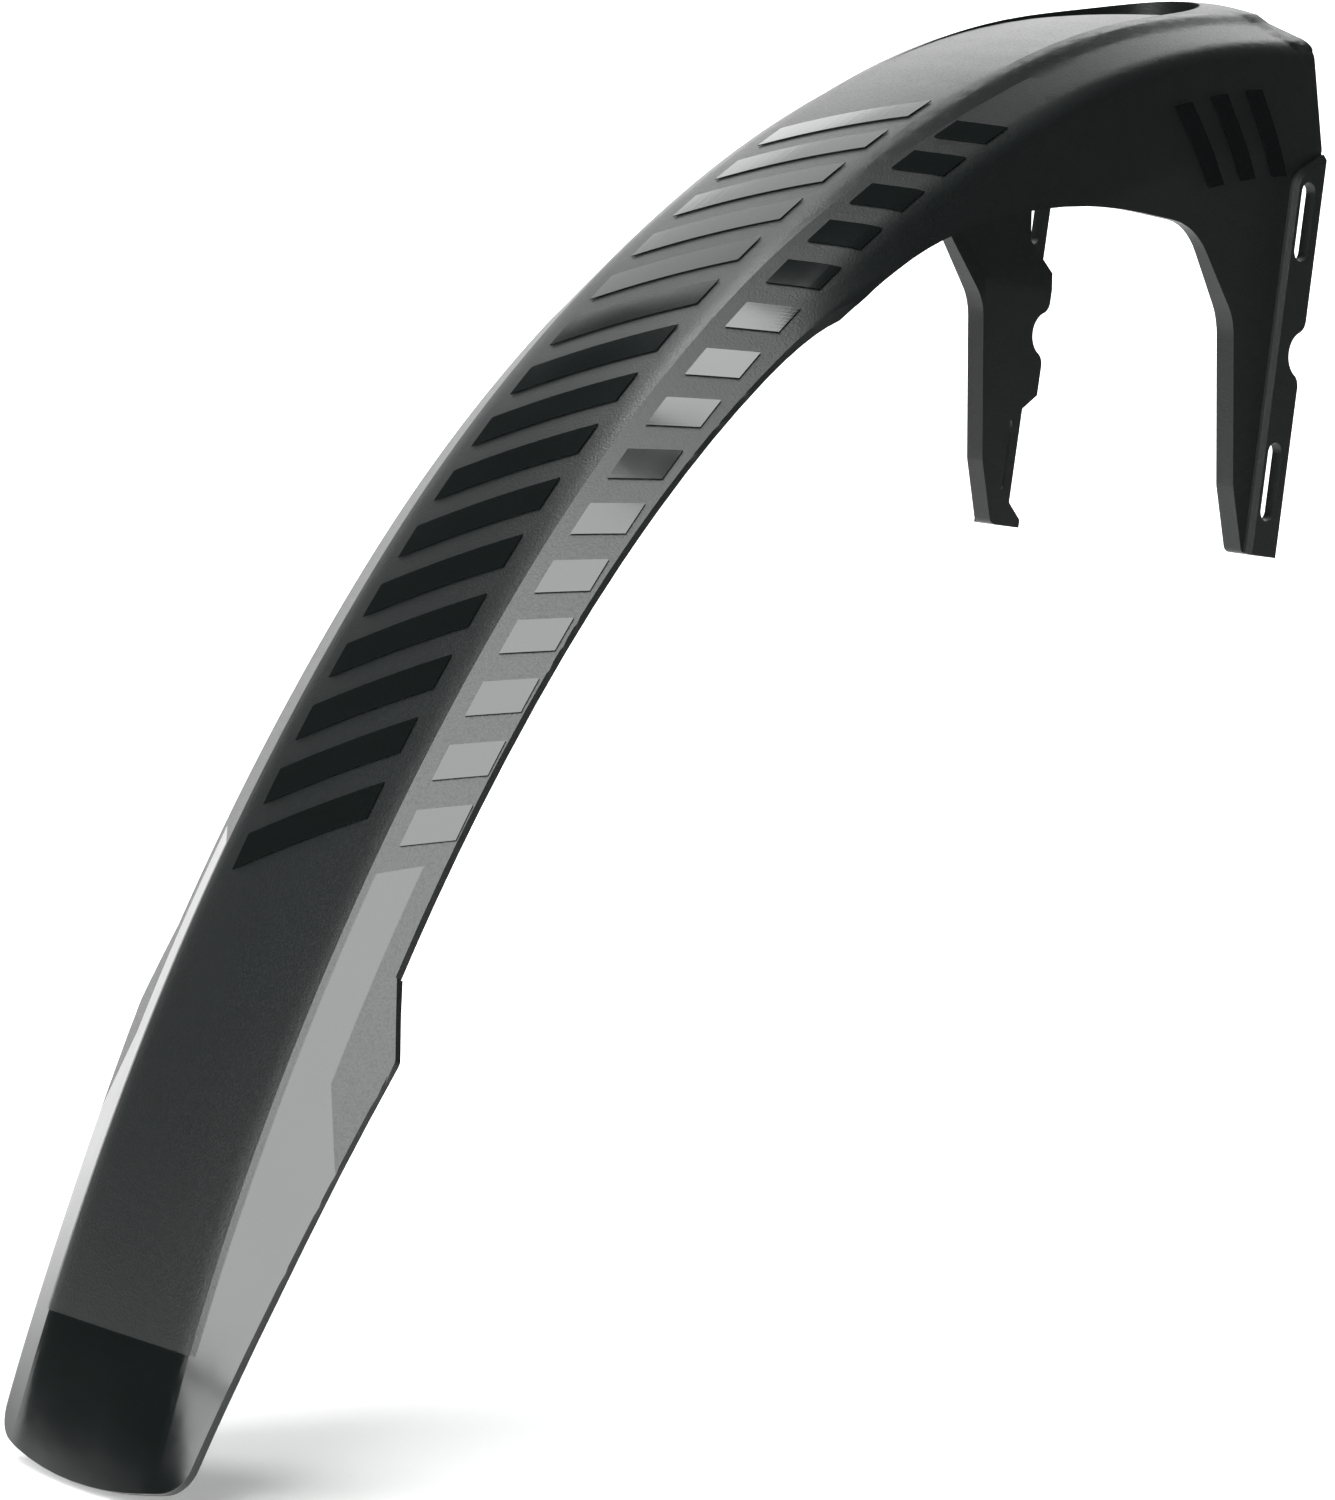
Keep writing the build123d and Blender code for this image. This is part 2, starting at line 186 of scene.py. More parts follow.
@dataclass(frozen=True)
class GuardSection:
    """Outer half section of the moulding, as half widths and rises over the crown line, in metres."""

    top_half: float = 0.0208
    top_rise: float = 0.0006
    top_crown: float = 0.0008
    shoulder_half: float = 0.024
    flange_slope_deg: float = 30.5
    flange_bend: float = 0.012
    flange_reach: float = 0.024
    tail_shoulder_half: float = 0.0252
    tail_flange_slope_deg: float = 11.0
    tail_start: float = 0.394
    tail_length: float = 0.1247
    crest_half: float = 0.0195
    crest_rise: float = 0.0006
    crest_crown: float = 0.0022
    lip_half: float = 0.0232
    lip_drop: float = 0.0002
    band_half: float = 0.027
    band_drop: float = 0.0024
    crease_half: float = 0.0414
    crease_drop: float = 0.0075
    crease_softness: float = 0.0045
    crease_after_share: float = 0.75
    bevel_share: float = 0.6
    bend_end_share: float = 1.4
    tail_limit: float = 1.1
    tail_power: int = 4
    leg_outer: float = 0.0445
    leg_splay_deg: float = 0.5
    collar_rise: float = CrownLine.rise
    wall_drop: float = 0.033
    wall_end: float = 0.150
    blend_end: float = 0.094
    blend_length: float = 0.120
    front_arc: float = CrownLine.front_arc
    crown_points: int = 8
    crease_points: int = 13
    shoulder_steps: int = 2

    def guard_corners(self, tail: Array) -> Array:
        """Corners of the guard's half section.

        Args:
            tail: How far each section has turned into the flatter tail.

        Returns:
            Corners as an array of sections, corners, and half width and rise.
        """
        spread = (self.tail_flange_slope_deg - self.flange_slope_deg) * tail
        slope = np.tan(np.radians(self.flange_slope_deg + spread))
        widen = (self.tail_shoulder_half - self.shoulder_half) * tail
        shoulder = self.shoulder_half + widen
        level = np.zeros_like(tail)
        bevel_half = (self.top_half + self.shoulder_half) / 2 + widen
        corners = [
            (self.top_half + widen, level + self.top_rise),
            (bevel_half, level + self.bevel_share * self.top_rise),
            (shoulder, level),
        ]
        for run in (self.flange_bend, self.bend_end_share * self.flange_bend, self.flange_reach):
            corners.append((shoulder + run, -slope * run))
        return np.stack([np.stack(corner, axis=1) for corner in corners], axis=1)

    def collar_corners(self) -> Array:
        """Corners of the collar's half section.

        Returns:
            Corners as half widths and rises.
        """
        splay = math.tan(math.radians(self.leg_splay_deg))
        return np.array([
            (self.crest_half, self.crest_rise),
            (self.lip_half, -self.lip_drop),
            (self.band_half, -self.band_drop),
            (self.crease_half, -self.crease_drop),
            (self.leg_outer - splay * (self.collar_rise - self.wall_drop), -self.wall_drop),
            (self.leg_outer + splay * (self.wall_end - self.collar_rise), -self.wall_end),
        ])

    def outline(self, back: Array) -> Array:
        """Outer half sections from the middle of the crown to the end of the wall.

        Args:
            back: Distances along the crown line.

        Returns:
            Points as an array of sections, points, and half width and rise.
        """
        share = ease((self.blend_end + self.blend_length - back) / self.blend_length)[:, None, None]
        tail = np.clip((back - self.tail_start) / self.tail_length, 0.0, self.tail_limit) ** self.tail_power
        corners = self.guard_corners(tail) * (1 - share) + self.collar_corners() * share
        crest, lip, shoulder, crease, wall, end = corners.swapaxes(0, 1)
        crown = self.top_crown + (self.crest_crown - self.top_crown) * ease(1 - back / self.front_arc)
        half, rise = crest[:, 0], crest[:, 1]
        radius = (half**2 + crown**2) / (2 * crown)
        points = []
        for number in range(self.crown_points):
            across = half * number / self.crown_points
            height = rise + crown - radius + np.sqrt(radius**2 - across**2)
            points.append(np.stack((across, height), axis=1))
        points += [crest, lip, shoulder]
        points += self.crease_curve(shoulder, crease, wall)
        points += [wall, end]
        return np.stack(points, axis=1)

    def shoulder_girth(self, back: Array) -> Array:
        """Girths from the crown's middle to the line between the top and the flanges.

        Args:
            back: Distances along the crown line.

        Returns:
            The girths.
        """
        run = np.linalg.norm(np.diff(self.outline(back), axis=1), axis=2)
        return run[:, : self.crown_points + self.shoulder_steps].sum(axis=1)

    def crease_curve(self, before: Array, crease: Array, after: Array) -> list[Array]:
        """Soft turn of the half sections at their crease.

        Args:
            before: Corners inward of the crease.
            crease: The crease's corners.
            after: Corners outward of the crease.

        Returns:
            Points along the turn.
        """
        start = crease + self.toward(before - crease, self.crease_softness)
        end = crease + self.toward(after - crease, self.crease_after_share * self.crease_softness)
        shares = np.linspace(0.0, 1.0, self.crease_points)
        return [start * (1 - t) ** 2 + crease * 2 * t * (1 - t) + end * t * t for t in shares]

    @staticmethod
    def toward(run: Array, length: float) -> Array:
        """Vectors along the runs with one length."""
        return run * (length / np.linalg.norm(run, axis=1, keepdims=True))

    def nearest(self, back: Array, half: Array, rise: Array) -> tuple[Array, Array, Array, Array]:
        """Nearest points of the outer half sections to given points.

        Args:
            back: Distances along the crown line.
            half: Half widths of the points.
            rise: Rises of the points.

        Returns:
            The nearest points, the gaps to them, the girths from the crown's middle, and outward normals.
        """
        outline = self.outline(back)
        start = outline[:, :-1]
        run = outline[:, 1:] - start
        length = np.linalg.norm(run, axis=2)
        point = np.stack((half, rise), axis=1)[:, None]
        share = np.clip(((point - start) * run).sum(axis=2) / length**2, 0.0, 1.0)
        foot = start + run * share[..., None]
        gap = np.linalg.norm(point - foot, axis=2)
        rows, best = np.arange(len(back)), gap.argmin(axis=1)
        before = np.cumsum(length, axis=1) - length
        girth = (before + share * length)[rows, best]
        along = (run / length[..., None])[rows, best]
        normal = np.stack((-along[:, 1], along[:, 0]), axis=1)
        return foot[rows, best], gap[rows, best], girth, normal


class NodeWork:
    """Short ways to add nodes to a tree."""

    def __init__(self, tree: bpy.types.NodeTree) -> None:
        """Keep the tree that the nodes go to."""
        self.tree = tree

    def node(self, kind: str, **settings: object) -> bpy.types.Node:
        """Add a node.

        Args:
            kind: The node's type name.
            settings: Its own settings by name.

        Returns:
            The node.
        """
        node = self.tree.nodes.new(kind)
        for name, value in settings.items():
            setattr(node, name, value)
        return node

    def join(self, source: bpy.types.NodeSocket, target: bpy.types.NodeSocket) -> None:
        """Link an output to an input."""
        self.tree.links.new(source, target)

    def give(self, socket: bpy.types.NodeSocket, value: object) -> None:
        """Set an input to a number or link it to an output.

        Args:
            socket: The input.
            value: The number or output.
        """
        if isinstance(value, bpy.types.NodeSocket):
            self.join(value, socket)
        else:
            socket.default_value = value

    def math(self, operation: str, *values: object) -> bpy.types.NodeSocket:
        """Add a math node.

        Args:
            operation: Its operation.
            values: Numbers or outputs for its inputs in order.

        Returns:
            Its output.
        """
        node = self.node("ShaderNodeMath", operation=operation)
        for socket, value in zip(node.inputs, values):
            self.give(socket, value)
        return node.outputs["Value"]

    def vector(self, *values: object) -> bpy.types.NodeSocket:
        """Add a node that joins three values to a vector.

        Args:
            values: Numbers or outputs for the three parts.

        Returns:
            Its output.
        """
        node = self.node("ShaderNodeCombineXYZ")
        for socket, value in zip(node.inputs, values):
            self.give(socket, value)
        return node.outputs["Vector"]

    def between(self, value: bpy.types.NodeSocket, low: float, high: float) -> bpy.types.NodeSocket:
        """Add a smooth step of a value.

        Args:
            value: The value.
            low: Where the step is 0.
            high: Where the step is 1.

        Returns:
            The step's output.
        """
        node = self.node("ShaderNodeMapRange", interpolation_type="SMOOTHSTEP")
        self.join(value, node.inputs["Value"])
        node.inputs["From Min"].default_value = low
        node.inputs["From Max"].default_value = high
        return node.outputs["Result"]

    def mix(self, share: bpy.types.NodeSocket, low: object, high: object) -> bpy.types.NodeSocket:
        """Add a mix of two values.

        Args:
            share: Share of the second value.
            low: The first number or output.
            high: The second number or output.

        Returns:
            The mix's output.
        """
        node = self.node("ShaderNodeMix", data_type="FLOAT")
        self.join(share, node.inputs["Factor"])
        self.give(node.inputs["A"], low)
        self.give(node.inputs["B"], high)
        return node.outputs["Result"]


@dataclass(frozen=True)
class SurfaceGrain:
    """Grain that the finishes share: a height for bump, specks, and a tone that varies slowly."""

    cell_size: float = 0.0006
    patch_size: float = 0.02
    fine_detail: float = 2.0
    slow_detail: float = 3.0
    speck_share: float = 0.6

    def group(self) -> bpy.types.NodeTree:
        """Build the grain.

        Returns:
            The node group.
        """
        group = bpy.data.node_groups.new("surface_grain", "ShaderNodeTree")
        for name, value in (("Cell Size", self.cell_size), ("Patch Size", self.patch_size)):
            socket = group.interface.new_socket(name, in_out="INPUT", socket_type="NodeSocketFloat")
            socket.default_value = value
        for name in ("Height", "Speck", "Tone"):
            group.interface.new_socket(name, in_out="OUTPUT", socket_type="NodeSocketFloat")
        work = NodeWork(group)
        inputs = work.node("NodeGroupInput").outputs
        outputs = work.node("NodeGroupOutput").inputs
        place = work.node("ShaderNodeTexCoord").outputs["Object"]
        fine_scale = work.math("DIVIDE", 1.0, inputs["Cell Size"])
        patch_scale = work.math("DIVIDE", 1.0, inputs["Patch Size"])
        fine = work.node("ShaderNodeTexNoise")
        fine.inputs["Detail"].default_value = self.fine_detail
        speck = work.node("ShaderNodeTexVoronoi")
        slow = work.node("ShaderNodeTexNoise")
        slow.inputs["Detail"].default_value = self.slow_detail
        for texture, scale in ((fine, fine_scale), (speck, fine_scale), (slow, patch_scale)):
            work.join(place, texture.inputs["Vector"])
            work.join(scale, texture.inputs["Scale"])
        distance = speck.outputs["Distance"]
        height = work.math("MULTIPLY_ADD", distance, self.speck_share, fine.outputs["Fac"])
        work.join(height, outputs["Height"])
        work.join(distance, outputs["Speck"])
        work.join(slow.outputs["Fac"], outputs["Tone"])
        return group


@dataclass(frozen=True)
class SurfaceFinish:
    """How one finish of the plastic looks: its tones, gloss and grain."""

    dark: Colour
    pale: Colour
    roughness: float
    roughness_spread: float
    cell_size: float
    patch_size: float
    depth: float


MATTE_GRAIN = SurfaceFinish(
    dark=(0.0030, 0.0042, 0.0040), pale=(0.0046, 0.0060, 0.0058), roughness=0.36, roughness_spread=0.1,
    cell_size=0.0006, patch_size=0.03, depth=0.00004,
)
POLISH = SurfaceFinish(
    dark=(0.0022, 0.0032, 0.0030), pale=(0.0032, 0.0044, 0.0042), roughness=0.1, roughness_spread=0.06,
    cell_size=0.018, patch_size=0.05, depth=0.00004,
)


@dataclass(frozen=True)
class PolishBorders:
    """Where the body's skin is polished instead of grained, in metres along and around the guard."""

    tip_back: float = 0.4855
    panel_girth: float = 0.0258
    flange_start: float = 0.400
    flange_lean: float = 2.3
    strip_start: float = 0.374
    strip_width: float = 0.009
    strip_lean: float = -0.6
    softness: float = 0.0003

    def mask(self, work: NodeWork) -> bpy.types.NodeSocket:
        """Mask of the polished areas.

        Args:
            work: The tree to build in.

        Returns:
            1 where the skin is polished.
        """
        values = {}
        for name in SkinAttribute:
            node = work.node("ShaderNodeAttribute", attribute_type="GEOMETRY", attribute_name=name.value)
            values[name] = node.outputs["Fac"]
        girth = work.math("ABSOLUTE", values[SkinAttribute.GIRTH])
        back = values[SkinAttribute.BACK]
        outside = work.between(girth, self.panel_girth - self.softness, self.panel_girth + self.softness)
        beyond = work.math("SUBTRACT", girth, self.panel_girth)
        lean = work.math("MULTIPLY_ADD", beyond, -self.flange_lean, back)
        flange = work.between(lean, self.flange_start - self.softness, self.flange_start + self.softness)
        end = work.math("MULTIPLY_ADD", beyond, -self.strip_lean, back)
        strip = work.between(end, self.strip_start - self.softness, self.strip_start + self.softness)
        edge = work.between(beyond, self.strip_width + self.softness, self.strip_width - self.softness)
        strip = work.math("MULTIPLY", strip, edge)
        flange = work.math("MULTIPLY", work.math("MAXIMUM", flange, strip), outside)
        tip = work.between(back, self.tip_back - self.softness, self.tip_back + self.softness)
        either = work.math("MAXIMUM", flange, tip)
        on_skin = work.math("GREATER_THAN", values[SkinAttribute.SKIN], SKIN_LEVEL)
        return work.math("MULTIPLY", either, on_skin)


class PlasticShop:
    """Makes the plastic's materials from its finishes and one shared grain."""

    GLOSS = 0.5

    def __init__(self) -> None:
        """Build the shared grain."""
        self.grain = SurfaceGrain().group()

    def layer(self, work: NodeWork, finish: SurfaceFinish) -> dict[str, bpy.types.NodeSocket]:
        """Colour, roughness and height of one finish.

        Args:
            work: The tree to build in.
            finish: The finish.

        Returns:
            The three outputs by name.
        """
        grain = work.node("ShaderNodeGroup", node_tree=self.grain)
        grain.inputs["Cell Size"].default_value = finish.cell_size
        grain.inputs["Patch Size"].default_value = finish.patch_size
        colour = work.node("ShaderNodeMix", data_type="RGBA")
        work.join(grain.outputs["Tone"], colour.inputs["Factor"])
        colour.inputs["A"].default_value = (*finish.dark, 1.0)
        colour.inputs["B"].default_value = (*finish.pale, 1.0)
        speck = grain.outputs["Speck"]
        roughness = work.math("MULTIPLY_ADD", speck, finish.roughness_spread, finish.roughness)
        height = work.math("MULTIPLY", grain.outputs["Height"], finish.depth)
        return {"Colour": colour.outputs["Result"], "Roughness": roughness, "Height": height}

    def material(self, name: str) -> tuple[bpy.types.Material, NodeWork, bpy.types.Node]:
        """Start a material with its shader.

        Args:
            name: The material's name.

        Returns:
            The material, its tree and its Principled shader.
        """
        material = bpy.data.materials.new(name)
        material.use_nodes = True
        shader = material.node_tree.nodes["Principled BSDF"]
        shader.inputs["Specular IOR Level"].default_value = self.GLOSS
        return material, NodeWork(material.node_tree), shader

    def finish_shader(
        self, work: NodeWork, shader: bpy.types.Node, layer: dict[str, bpy.types.NodeSocket]
    ) -> None:
        """Join a layer to the shader.

        Args:
            work: The tree to build in.
            shader: The Principled shader.
            layer: Colour, roughness and height.
        """
        bump = work.node("ShaderNodeBump")
        bump.inputs["Distance"].default_value = 1.0
        work.join(layer["Height"], bump.inputs["Height"])
        work.join(layer["Colour"], shader.inputs["Base Color"])
        work.join(layer["Roughness"], shader.inputs["Roughness"])
        work.join(bump.outputs["Normal"], shader.inputs["Normal"])

    def moulding(self, borders: PolishBorders) -> bpy.types.Material:
        """The body's plastic: grained, with polished areas.

        Args:
            borders: Where it is polished.

        Returns:
            The material.
        """
        material, work, shader = self.material("grained_and_polished_plastic")
        matte = self.layer(work, MATTE_GRAIN)
        polish = self.layer(work, POLISH)
        mask = borders.mask(work)
        colour = work.node("ShaderNodeMix", data_type="RGBA")
        work.join(mask, colour.inputs["Factor"])
        work.join(matte["Colour"], colour.inputs["A"])
        work.join(polish["Colour"], colour.inputs["B"])
        layer = {"Colour": colour.outputs["Result"]}
        for name in ("Roughness", "Height"):
            layer[name] = work.mix(mask, matte[name], polish[name])
        self.finish_shader(work, shader, layer)
        return material

    def polished(self) -> bpy.types.Material:
        """Polished plastic of the bars.

        Returns:
            The material.
        """
        material, work, shader = self.material("polished_plastic")
        self.finish_shader(work, shader, self.layer(work, POLISH))
        return material


@dataclass(frozen=True)
class GuardBody:
    """The moulding: a fine copy of the frame's solid with its outer skin drawn smooth."""

    crown: CrownLine
    section: GuardSection
    merge_distance: float = 1e-6
    longest_edge: float = 0.004
    refine_rounds: int = 5
    skin_gap: float = 0.0004
    skin_facing: float = 0.35
    crease_deg: float = 25.0
    recess_back: float = 0.113
    recess_half: float = 0.0215

    def build(self) -> bpy.types.Object:
        """Build the piece.

        Returns:
            The body's object.
        """
        shape = bmesh.new()
        shape.from_mesh(frame["nodes"][NODE].data)
        bmesh.ops.remove_doubles(shape, verts=shape.verts, dist=self.merge_distance)
        self.refine(shape)
        shape.verts.index_update()
        values = self.draw_skin(shape)
        shape.normal_update()
        for face in shape.faces:
            face.smooth = True
        shoulder = self.on_shoulder(values)
        for edge in shape.edges:
            on_line = shoulder[edge.verts[0].index] and shoulder[edge.verts[1].index]
            edge.smooth = edge.calc_face_angle(math.pi) < math.radians(self.crease_deg) and not on_line
        mesh = bpy.data.meshes.new("guard_body")
        shape.to_mesh(mesh)
        shape.free()
        for name, numbers in values.items():
            mesh.attributes.new(name.value, "FLOAT", "POINT").data.foreach_set("value", numbers)
        body = bpy.data.objects.new("guard_body", mesh)
        bpy.context.scene.collection.objects.link(body)
        return body

    def on_shoulder(self, values: dict[SkinAttribute, Array]) -> Array:
        """Find the points on the line between the guard's top and its flanges.

        Args:
            values: Values for the points by attribute.

        Returns:
            True for each point on the line.
        """
        back = values[SkinAttribute.BACK]
        line = self.section.shoulder_girth(back)
        near = np.abs(np.abs(values[SkinAttribute.GIRTH]) - line) < self.skin_gap
        return near & (values[SkinAttribute.SKIN] > SKIN_LEVEL) & (back > self.section.blend_end)

    def refine(self, shape: bmesh.types.BMesh) -> None:
        """Split long edges until the facets are small.

        Args:
            shape: The mesh to refine.
        """
        for _ in range(self.refine_rounds):
            long_edges = [edge for edge in shape.edges if edge.calc_length() > self.longest_edge]
            bmesh.ops.subdivide_edges(shape, edges=long_edges, cuts=1)
            bmesh.ops.triangulate(shape, faces=[face for face in shape.faces if len(face.verts) > 3])
        shape.normal_update()

    def draw_skin(self, shape: bmesh.types.BMesh) -> dict[SkinAttribute, Array]:
        """Set the outer skin's points on the true section, and measure every point.

        Args:
            shape: The refined mesh.

        Returns:
            Values for the points by attribute.
        """
        places = np.array([vert.co[:] for vert in shape.verts])
        normals = np.array([vert.normal[:] for vert in shape.verts])
        side = np.where(places[:, 1] < 0, -1.0, 1.0)
        back, rise, slope = self.crown.locate(places[:, 0], places[:, 2])
        half = np.abs(places[:, 1])
        foot, gap, girth, outward = self.section.nearest(back, half, rise)
        lift = normals[:, 2] * np.cos(slope) - normals[:, 0] * np.sin(slope)
        facing = normals[:, 1] * side * outward[:, 0] + lift * outward[:, 1]
        in_recess = (back < self.recess_back) & (half < self.recess_half)
        skin = (gap < self.skin_gap) & (facing > self.skin_facing) & ~in_recess
        x, z = self.crown.place(back, foot[:, 1])
        LOG.info("skin points %d of %d, widest gap %.4f mm", skin.sum(), len(skin), 1000 * gap[skin].max())
        for vert, chosen, new_x, new_y, new_z in zip(shape.verts, skin, x, side * foot[:, 0], z):
            if chosen:
                vert.co = (new_x, new_y, new_z)
        return {
            SkinAttribute.BACK: back,
            SkinAttribute.GIRTH: side * girth,
            SkinAttribute.SKIN: skin.astype(float),
        }

    def dress(self, body: bpy.types.Object, plastic: bpy.types.Material) -> None:
        """Give the body its plastic and set it in the frame.

        Args:
            body: The body's object.
            plastic: Its material.
        """
        body.data.materials.append(plastic)
        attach(body, BODY)
        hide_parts(NODE)


@dataclass(frozen=True)
class BarRow:
    """One row of slanted polished bars, in metres along and around the guard."""

    name: str
    count: int
    start: float
    pitch: float
    centre: float
    width: float
    length: float
    slant_deg: float


class PolishedBars:
    """Rows of slanted bars that lie on the guard's skin a hair proud of it."""

    GUIDE_MAP = "guide_map"
    MAP_LENGTH = 0.6
    MAP_GIRTH = 0.5
    MAP_MIDDLE = 0.5
    FEWEST_SPOTS = 2.0
    STEP = 0.001
    SINK = 0.0002
    LIFT = 0.00005
    GRID = 0.001
    SOCKETS = (
        ("Guide", "NodeSocketObject"), ("Finish", "NodeSocketMaterial"), ("Count", "NodeSocketInt"),
        ("Start", "NodeSocketFloat"), ("Pitch", "NodeSocketFloat"), ("Centre", "NodeSocketFloat"),
        ("Width", "NodeSocketFloat"), ("Length", "NodeSocketFloat"), ("Slant", "NodeSocketFloat"),
        ("Sink", "NodeSocketFloat"), ("Lift", "NodeSocketFloat"), ("Grid", "NodeSocketFloat"),
    )

    def __init__(self, crown: CrownLine, section: GuardSection) -> None:
        """Keep the shapes that the bars follow."""
        self.crown = crown
        self.section = section

    def guide(self) -> bpy.types.Object:
        """Sheet that follows the guard's outer skin, mapped by distance along and girth around it.

        Returns:
            The sheet's object.
        """
        back = np.arange(0.0, self.crown.front_arc + self.crown.mid_arc + self.crown.tail_arc, self.STEP)
        outline = self.section.outline(back)
        run = np.linalg.norm(np.diff(outline, axis=1), axis=2)
        girth = np.concatenate((np.zeros((len(back), 1)), np.cumsum(run, axis=1)), axis=1)
        half = np.concatenate((-outline[:, :0:-1, 0], outline[:, :, 0]), axis=1)
        rise = np.concatenate((outline[:, :0:-1, 1], outline[:, :, 1]), axis=1)
        girth = np.concatenate((-girth[:, :0:-1], girth), axis=1)
        along = np.repeat(back[:, None], half.shape[1], axis=1)
        x, z = self.crown.place(along, rise)
        rows, columns = half.shape
        number = np.arange(rows * columns).reshape(rows, columns)
        quads = np.stack((number[:-1, :-1], number[:-1, 1:], number[1:, 1:], number[1:, :-1]), axis=2)
        mesh = bpy.data.meshes.new("skin_guide")
        points = np.stack((x, half, z), axis=2).reshape(-1, 3)
        mesh.from_pydata(points.tolist(), [], quads.reshape(-1, 4)[:, ::-1].tolist())
        around = self.MAP_MIDDLE + girth / self.MAP_GIRTH
        spread = np.stack((along / self.MAP_LENGTH, around), axis=2).reshape(-1, 2)
        layer = mesh.uv_layers.new(name=self.GUIDE_MAP)
        corners = np.zeros(len(mesh.loops), dtype=np.int32)
        mesh.loops.foreach_get("vertex_index", corners)
        layer.data.foreach_set("uv", spread[corners].ravel())
        sheet = bpy.data.objects.new("skin_guide", mesh)
        bpy.context.scene.collection.objects.link(sheet)
        return sheet

    def flat_bars(self, work: NodeWork, inputs: Sockets) -> bpy.types.NodeSocket:
        """Add the nodes that set the bars out in a row on a flat plane.

        Args:
            work: The tree to build in.
            inputs: The tree's own inputs.

        Returns:
            The flat bars.
        """
        row = work.node("GeometryNodeMeshLine")
        work.join(inputs["Count"], row.inputs["Count"])
        work.join(work.vector(inputs["Start"], inputs["Centre"], 0.0), row.inputs["Start Location"])
        work.join(work.vector(inputs["Pitch"], 0.0, 0.0), row.inputs["Offset"])
        bar = work.node("GeometryNodeMeshGrid")
        for size, axis in (("Width", "X"), ("Length", "Y")):
            work.join(inputs[size], bar.inputs[f"Size {axis}"])
            spots = work.math("CEIL", work.math("DIVIDE", inputs[size], inputs["Grid"]))
            work.join(work.math("MAXIMUM", spots, self.FEWEST_SPOTS), bar.inputs[f"Vertices {axis}"])
        bars = work.node("GeometryNodeInstanceOnPoints")
        work.join(row.outputs["Mesh"], bars.inputs["Points"])
        work.join(bar.outputs["Mesh"], bars.inputs["Instance"])
        flat = work.node("GeometryNodeRealizeInstances")
        work.join(bars.outputs["Instances"], flat.inputs["Geometry"])
        return flat.outputs["Geometry"]

    def map_place(self, work: NodeWork, inputs: Sockets) -> bpy.types.NodeSocket:
        """Add the nodes that slant the bars and find their points on the guide's map.

        Args:
            work: The tree to build in.
            inputs: The tree's own inputs.

        Returns:
            The points' places on the map.
        """
        spot = work.node("ShaderNodeSeparateXYZ")
        work.join(work.node("GeometryNodeInputPosition").outputs["Position"], spot.inputs["Vector"])
        across = work.math("SUBTRACT", spot.outputs["Y"], inputs["Centre"])
        shift = work.math("MULTIPLY", across, work.math("TANGENT", inputs["Slant"]))
        along = work.math("DIVIDE", work.math("ADD", spot.outputs["X"], shift), self.MAP_LENGTH)
        around = work.math("DIVIDE", spot.outputs["Y"], self.MAP_GIRTH)
        return work.vector(along, work.math("ADD", around, self.MAP_MIDDLE), 0.0)

    def on_guide(
        self,
        work: NodeWork,
        guide: bpy.types.NodeSocket,
        spot: bpy.types.NodeSocket,
        value: bpy.types.NodeSocket,
    ) -> bpy.types.NodeSocket:
        """Add the nodes that read a value of the guide where the bars' points lie on its map.

        Args:
            work: The tree to build in.
            guide: The guide's mesh.
            spot: The points' places on the map.
            value: The value to read.

        Returns:
            The value at the points.
        """
        guide_map = work.node("GeometryNodeInputNamedAttribute", data_type="FLOAT_VECTOR")
        guide_map.inputs["Name"].default_value = self.GUIDE_MAP
        sample = work.node("GeometryNodeSampleUVSurface", data_type="FLOAT_VECTOR")
        work.join(guide, sample.inputs["Mesh"])
        work.join(value, sample.inputs["Value"])
        work.join(guide_map.outputs["Attribute"], sample.inputs["Source UV Map"])
        work.join(spot, sample.inputs["Sample UV"])
        return sample.outputs["Value"]

    def laid_bars(self, work: NodeWork, inputs: Sockets) -> bpy.types.NodeSocket:
        """Add the nodes that lay the flat bars just under the guide.

        Args:
            work: The tree to build in.
            inputs: The tree's own inputs.

        Returns:
            The laid bars.
        """
        guide = work.node("GeometryNodeObjectInfo")
        work.join(inputs["Guide"], guide.inputs["Object"])
        sheet = guide.outputs["Geometry"]
        spot = self.map_place(work, inputs)
        skin = self.on_guide(work, sheet, spot, work.node("GeometryNodeInputPosition").outputs["Position"])
        outward = self.on_guide(work, sheet, spot, work.node("GeometryNodeInputNormal").outputs["Normal"])
        depth = work.math("MULTIPLY", inputs["Sink"], -1.0)
        sunk = work.node("ShaderNodeVectorMath", operation="MULTIPLY_ADD")
        for source, target in zip((outward, work.vector(depth, depth, depth), skin), sunk.inputs):
            work.join(source, target)
        laid = work.node("GeometryNodeSetPosition")
        work.join(self.flat_bars(work, inputs), laid.inputs["Geometry"])
        work.join(sunk.outputs["Vector"], laid.inputs["Position"])
        return laid.outputs["Geometry"]

